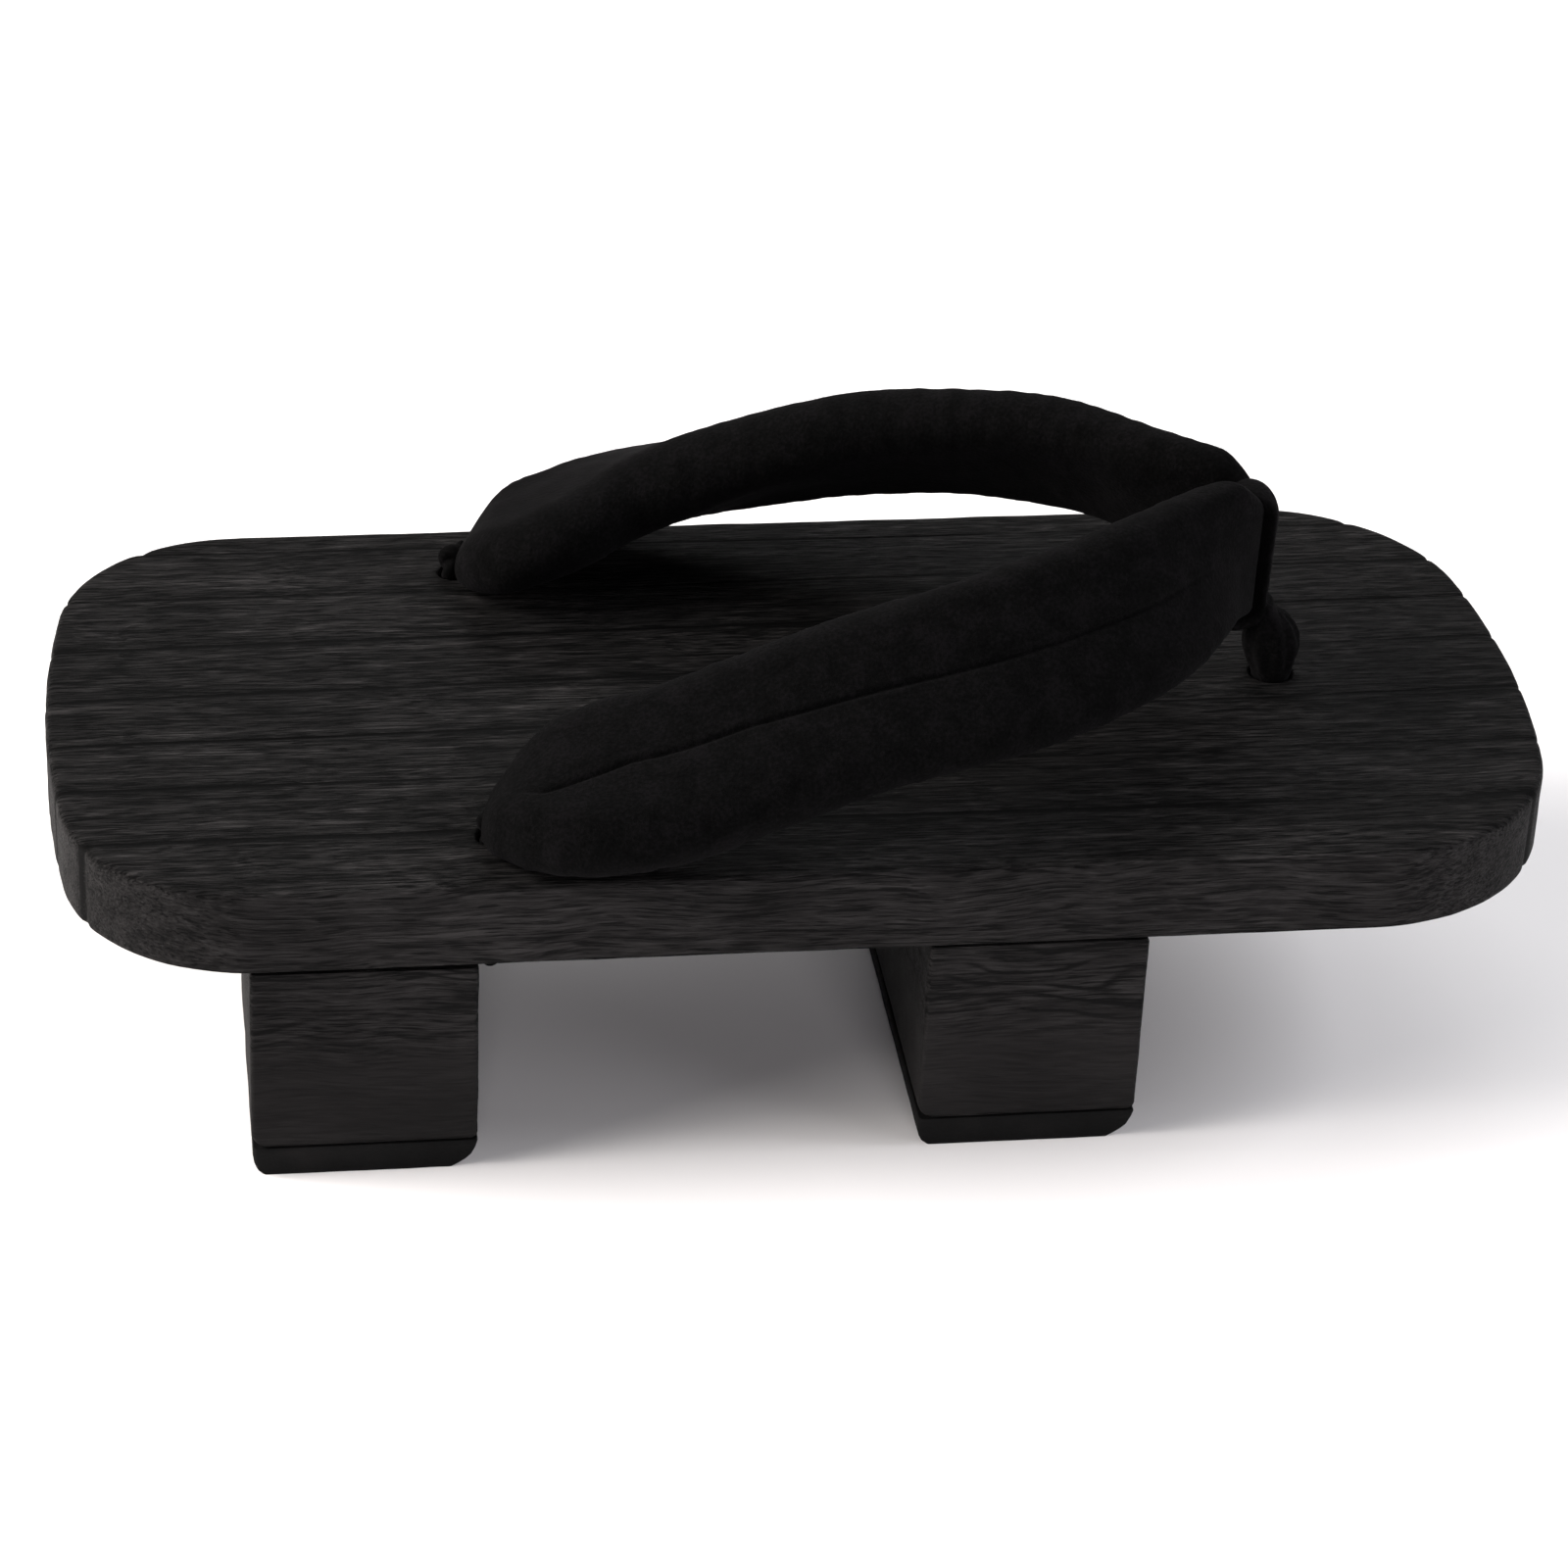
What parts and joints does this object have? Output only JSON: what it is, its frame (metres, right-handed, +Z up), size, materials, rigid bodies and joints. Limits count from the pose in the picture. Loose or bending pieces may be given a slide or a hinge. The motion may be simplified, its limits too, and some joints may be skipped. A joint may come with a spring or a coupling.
{
  "type": "geta sandal",
  "caption": "Wooden geta sandal: a stained board with rounded ends on cross teeth with rubber treads, and a padded cloth strap held by a toe thong.",
  "frame": {"origin": "on the floor under the middle of the board, halfway along it and halfway across", "axes": "+X towards the toe, +Y towards the left side seen from the heel, +Z up"},
  "size_m": [0.28, 0.1376, 0.1063],
  "materials": {
    "stained_wood": "black-stained straight-grained light wood, satin",
    "tread_rubber": "matte black rubber sheet",
    "strap_cloth": "deep black napped cloth over soft padding"
  },
  "bodies": {
    "root": {"board": "stained_wood", "heel_tooth": "stained_wood", "toe_tooth": "stained_wood", "heel_tread": "tread_rubber", "toe_tread": "tread_rubber", "straps": "strap_cloth", "toe_thong": "strap_cloth"}
  },
  "joints": []
}
